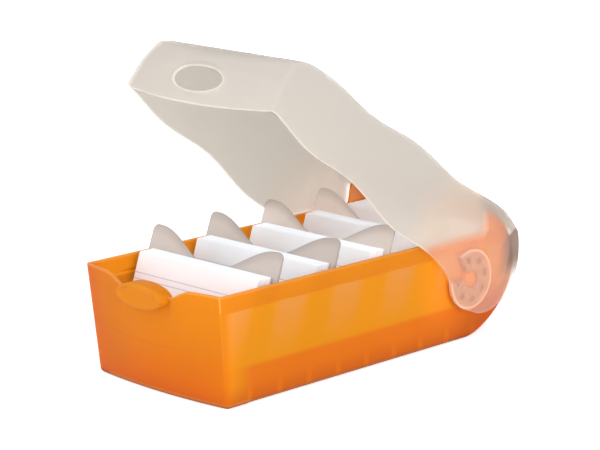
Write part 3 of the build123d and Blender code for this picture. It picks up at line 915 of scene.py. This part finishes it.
def pad_half():
    """The pad at positive x as a polar grid, whose section runs over the bore, the face and the rim."""
    face_rows = 38
    angle = np.linspace(mouth_turn + mouth_half, mouth_turn + 2 * pi - mouth_half, 240)[:, None]
    face_r = np.linspace(pad_bore + pad_edge, pad_radius - pad_edge, face_rows)
    corner = pad_edge * np.array([0, 0.3])
    corner_x = pad_inner_face + pad_edge * np.array([1, 0.3])
    radius = np.concatenate([[pad_bore], pad_bore + corner, face_r,
                             pad_radius - corner[::-1], [pad_radius, pad_bore]])
    place = np.concatenate([[pad_outer_face], corner_x, np.full(face_rows, pad_inner_face),
                            corner_x[::-1], [pad_outer_face] * 2])
    y, z = radius * np.cos(angle), radius * np.sin(angle)
    from_pocket = np.hypot(y[..., None] - pocket_circle * np.cos(pocket_angle),
                           z[..., None] - pocket_circle * np.sin(pocket_angle)).min(2)
    x = place + pocket_depth * (1 - smooth_step(from_pocket, pocket_radius - 0.3, pocket_radius))
    ring = np.stack([x, hinge_y + y, hinge_z + z], 2)
    caps = np.broadcast_to(ring[[0, -1]].mean(1, keepdims=True), (2, *ring.shape[1:]))
    ring = np.concatenate([caps[:1], ring, caps[1:]])
    return ring.reshape(-1, 3), grid_faces(*ring.shape[:2])


pad_points, pad_faces = both_halves(*pad_half())
pads = build("bearing_pads", turn_lid(pad_points), pad_faces)
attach(pads, "lid")

# Seen through the cheek, the pad is painted with the tray's orange light and glows faintly; its rim gets a
# painted pale light and its pockets painted shade. The turn from the nearest pocket is the turn round the
# hinge modulo the pitch, and the cosine rule gives the distance.
pad_graph = Graph(bpy.data.materials.new("clear frosted polypropylene over orange"))
x, y, z = pad_graph.place()
along, up = y - hinge_y, z - hinge_z
from_hinge = (along ** 2 + up ** 2).math("SQRT")
pad_turn = up.math("ARCTAN2", along) + (lid_open_angle + 4 * pi - first_pocket + pocket_pitch / 2)
pad_turn = pad_turn.math("FLOORED_MODULO", pocket_pitch) - pocket_pitch / 2
off_line = from_hinge * (2 * pocket_circle) * pad_turn.math("COSINE")
from_pocket = (from_hinge ** 2 + pocket_circle ** 2 - off_line).math("SQRT")
pad_rim_light = from_hinge.step(pad_radius - 1.2, pad_radius - 0.6)
pad_colour = pad_graph.coat(
    pad_graph.mix(pad_graph.noise(300.0), (222, 170, 136), (217, 162, 128)),
    (from_pocket.fall(1.3, 1.8) * 0.8, (196, 126, 100)),
    (pad_rim_light, (252, 206, 176)),
)
pads.data.materials.append(pad_graph.finish(pad_graph.node("ShaderNodeBsdfPrincipled", values={
    "Base Color": pad_colour,
    "Roughness": 0.6,
    "IOR": 1.12,
    "Transmission Weight": 0.3,
    "Emission Color": pad_graph.mix(pad_rim_light, (150, 110, 90), (225, 175, 142)),
    "Emission Strength": 0.1,
})))


# The dividers: thin plates of frosted translucent plastic that lean back like the cards. A low saddle between
# two rounded fins leaves the cards free to the thumb.
divider_foot_half = 38.72
divider_top_half = 40.44
card_height = 52.0
seat_gap = 0.02
fin_rise = 10.6
fin_inset = 4.0
fin_corner = 3.0
saddle_depth = 13.5
divider_lip = 0.3


def leaning_points(x, across, up, foot_y, thickness):
    """Points on a leaning plate that stands at foot_y: across leads through it and up leads along it."""
    y = foot_y + across * cos(card_lean) + up * sin(card_lean)
    z = tray_floor + seat_gap + (thickness - across) * sin(card_lean) + up * cos(card_lean)
    return np.stack(np.broadcast_arrays(x, y, z), -1)


def divider_face(foot_y):
    """The divider's front face as a grid, whose columns end on the saddle's cosine or the fin's corner."""
    peak_x = divider_top_half - fin_inset
    fin_top = card_height + fin_rise
    saddle_x = np.linspace(0, peak_x, 40)
    saddle = fin_top - saddle_depth * (1 + np.cos(pi * saddle_x / peak_x)) / 2
    turn = np.linspace(0, pi / 2, 10)
    column_x = np.concatenate([saddle_x, divider_top_half - fin_corner * (1 - np.sin(turn))])
    column_top = np.concatenate([saddle, fin_top - fin_corner * (1 - np.cos(turn))])
    column_x = np.concatenate([-column_x[:0:-1], column_x])[:, None]
    column_top = np.concatenate([column_top[:0:-1], column_top])[:, None]
    up = column_top * np.linspace(0, 1, 14)
    half = divider_foot_half + (divider_top_half - divider_foot_half) * np.minimum(up / card_height, 1)
    points = leaning_points(column_x * half / divider_top_half, 0, up, foot_y, divider_thickness)
    return points.reshape(-1, 3), grid_faces(*up.shape)


divider_graph = Graph(bpy.data.materials.new("grey translucent sheet"))
x, y, z = divider_graph.place()
divider_grain = divider_graph.noise(1800.0)
divider_cloud = divider_graph.noise(60.0)
lean_slope = sin(card_lean) / cos(card_lean)
# Painted shade darkens the dividers in front of the lid, painted light makes those under it glow faintly, and
# their edges are painted darker.
under_lid = (y - z * lean_slope).step(-40, 45)
divider_colour = divider_graph.coat(
    divider_graph.mix(divider_cloud, (228, 219, 212), (222, 213, 206)),
    ((1 - under_lid) * 0.8, (206, 194, 186)),
    (divider_graph.attribute("edge") * 0.8, (178, 168, 162)),
)
divider_material = divider_graph.finish(divider_graph.node("ShaderNodeBsdfPrincipled", values={
    "Base Color": divider_colour,
    "Roughness": 0.4 + divider_cloud * 0.08,
    "IOR": 1.49,
    "Transmission Weight": 0.35,
    "Emission Color": divider_graph.mix(under_lid, black, (240, 226, 216)),
    "Emission Strength": 0.17,
    "Normal": divider_graph.bump(divider_grain, 0.08),
}))
for number in range(divider_count):
    face = divider_face(divider_foot + number * divider_pitch)
    divider = shell(f"divider_plate_{number + 1}", *face, divider_thickness, divider_lip)
    divider.data.materials.append(divider_material)
    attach(divider, f"divider_{number + 1}")
    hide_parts(f"divider_{number + 1}")


# The cards: white uncoated record cards, cut square and ruled, twenty to a pack and thirty-six in the last.
# They lean back together, each a little out of line with the next.
card_half_width = 37.0
card_thickness = 0.3
card_pitch = 0.43
cards_in_pack = 20
cards_in_last_pack = 36
pack_front = np.array([-71.99, -36.99, -1.99, 33.01, 60.81])
card_stray = 0.45
chance = np.random.default_rng(5)


def card_stack(foot_y, count):
    """Points, faces and face coordinates of a stack, in which each card is a box moved sideways by chance."""
    corner = np.array([(u, v, w) for u in (-1, 1) for v in (0, 1) for w in (0, 1)])
    shift = chance.uniform(-card_stray, card_stray, count)[:, None]
    foot = foot_y + card_pitch * np.arange(count)[:, None]
    x = card_half_width * corner[:, 0] + shift
    across, up = card_thickness * corner[:, 1], card_height * corner[:, 2]
    points = leaning_points(x, across, up, foot, card_thickness)
    box = np.array([(0, 4, 5, 1), (2, 3, 7, 6), (0, 1, 3, 2), (4, 6, 7, 5), (0, 2, 6, 4), (1, 5, 7, 3)])
    faces = box[None] + 8 * np.arange(count)[:, None, None]
    flat = np.tile(np.stack([card_half_width * corner[:, 0], card_height * corner[:, 2]], 1), (count, 1))
    return points.reshape(-1, 3), faces.reshape(-1, 4), flat


# One rule runs near the top edge, and others follow it at one pitch down the face.
rule_pitch = 6.0
top_rule = 9.0
second_rule = 11.7
card_graph = Graph(bpy.data.materials.new("white card"))
x, y, z = card_graph.place()
card_fibre = card_graph.noise(900.0, 4.0)
card_uv = card_graph.node("ShaderNodeUVMap", {"uv_map": "face"})
from_top = card_height - card_graph.node("ShaderNodeSeparateXYZ", values={0: card_uv}).out("Y")
past_rule = (from_top - second_rule).math("FLOORED_MODULO", rule_pitch)
from_rule = rule_pitch / 2 - (past_rule - rule_pitch / 2).math("ABSOLUTE")
from_rule = from_rule.math("MINIMUM", (from_top - top_rule).math("ABSOLUTE"))
ruled = from_rule.fall(0.12, 0.3) * from_top.math("GREATER_THAN", 8)
card_colour = card_graph.coat(
    card_graph.mix(card_fibre, (244, 247, 251), (238, 241, 246)),
    (ruled * 0.6, (160, 170, 205)),
)
# Painted light: the cards under the lid glow faintly, for the light that comes through it.
under_lid = (y - z * lean_slope).step(-50, 45)
card_material = card_graph.finish(card_graph.node("ShaderNodeBsdfPrincipled", values={
    "Base Color": card_colour,
    "Roughness": 0.8 + card_fibre * 0.1,
    "Specular IOR Level": 0.2,
    "Emission Color": card_graph.mix(under_lid, black, (244, 244, 248)),
    "Emission Strength": 0.2,
    "Normal": card_graph.bump(card_fibre, 0.1, 0.0001),
}))
for number, foot in enumerate(pack_front, 1):
    count = cards_in_last_pack if number > divider_count else cards_in_pack
    points, faces, flat = card_stack(foot, count)
    pack = build(f"card_pack_{number}", points, faces)
    pack.data.shade_flat()
    uv = pack.data.uv_layers.new(name="face")
    vertex = np.empty(len(pack.data.loops), int)
    pack.data.loops.foreach_get("vertex_index", vertex)
    uv.data.foreach_set("uv", flat[vertex].ravel())
    pack.data.materials.append(card_material)
    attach(pack, f"pack_{number}")
    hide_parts(f"front_card_{number}", f"cards_{number}", f"rear_card_{number}")


# The stage: a pale floor under a plain bright sky, and four soft lamps. The camera, gloss and the frosted
# plastic see the floor and the sky as white.
reach = 6.0
floor_corners = [(-reach, -reach, 0), (reach, -reach, 0), (reach, reach, 0), (-reach, reach, 0)]
floor_mesh = bpy.data.meshes.new("floor")
floor_mesh.from_pydata(floor_corners, [], [(0, 1, 2, 3)])
floor = put("floor", floor_mesh)


def seen_ray(graph):
    """1 for a ray from the camera and for one that gloss or frosted plastic sends on, and 0 for any other."""
    rays = graph.node("ShaderNodeLightPath")
    sent_on = rays.out("Is Transmission Ray").math("MAXIMUM", rays.out("Is Glossy Ray"))
    return rays.out("Is Camera Ray").math("MAXIMUM", sent_on)


floor_graph = Graph(bpy.data.materials.new("white floor"))
floor_paint = floor_graph.node("ShaderNodeBsdfDiffuse", values={"Color": (0.86, 0.86, 0.86, 1)})
floor_light = {"Color": (1, 1, 1, 1), "Strength": seen_ray(floor_graph) * 0.52}
floor_glow = floor_graph.node("ShaderNodeEmission", values=floor_light)
floor_mesh.materials.append(floor_graph.finish(
    floor_graph.node("ShaderNodeAddShader", values={0: floor_paint, 1: floor_glow})))

sky_graph = Graph(bpy.data.worlds.new("sky"))
sky_levels = {"Value": seen_ray(sky_graph), "To Min": 0.83, "To Max": 1.0}
sky_strength = sky_graph.node("ShaderNodeMapRange", values=sky_levels)
sky_light = sky_graph.node("ShaderNodeBackground", values={"Strength": sky_strength})
bpy.context.scene.world = sky_graph.finish(sky_light, "ShaderNodeOutputWorld")

lamp_size = 0.9
lamp_aim = Vector((0, 0, 0.05))


def soft_box(name, place, power):
    """A square lamp that faces the middle of the box."""
    lamp = put(name, bpy.data.lights.new(name, "AREA"))
    lamp.data.size = lamp_size
    lamp.data.energy = power
    lamp.location = place
    lamp.rotation_euler = (lamp_aim - Vector(place)).to_track_quat("-Z", "Y").to_euler()


soft_box("key", (-0.5, -0.9, 1.1), 5.7)
soft_box("low", (-0.35, -1.25, 0.42), 2.7)
soft_box("side", (-1.15, -0.6, 0.34), 2.5)
soft_box("fill", (1.2, -0.35, 0.55), 11)
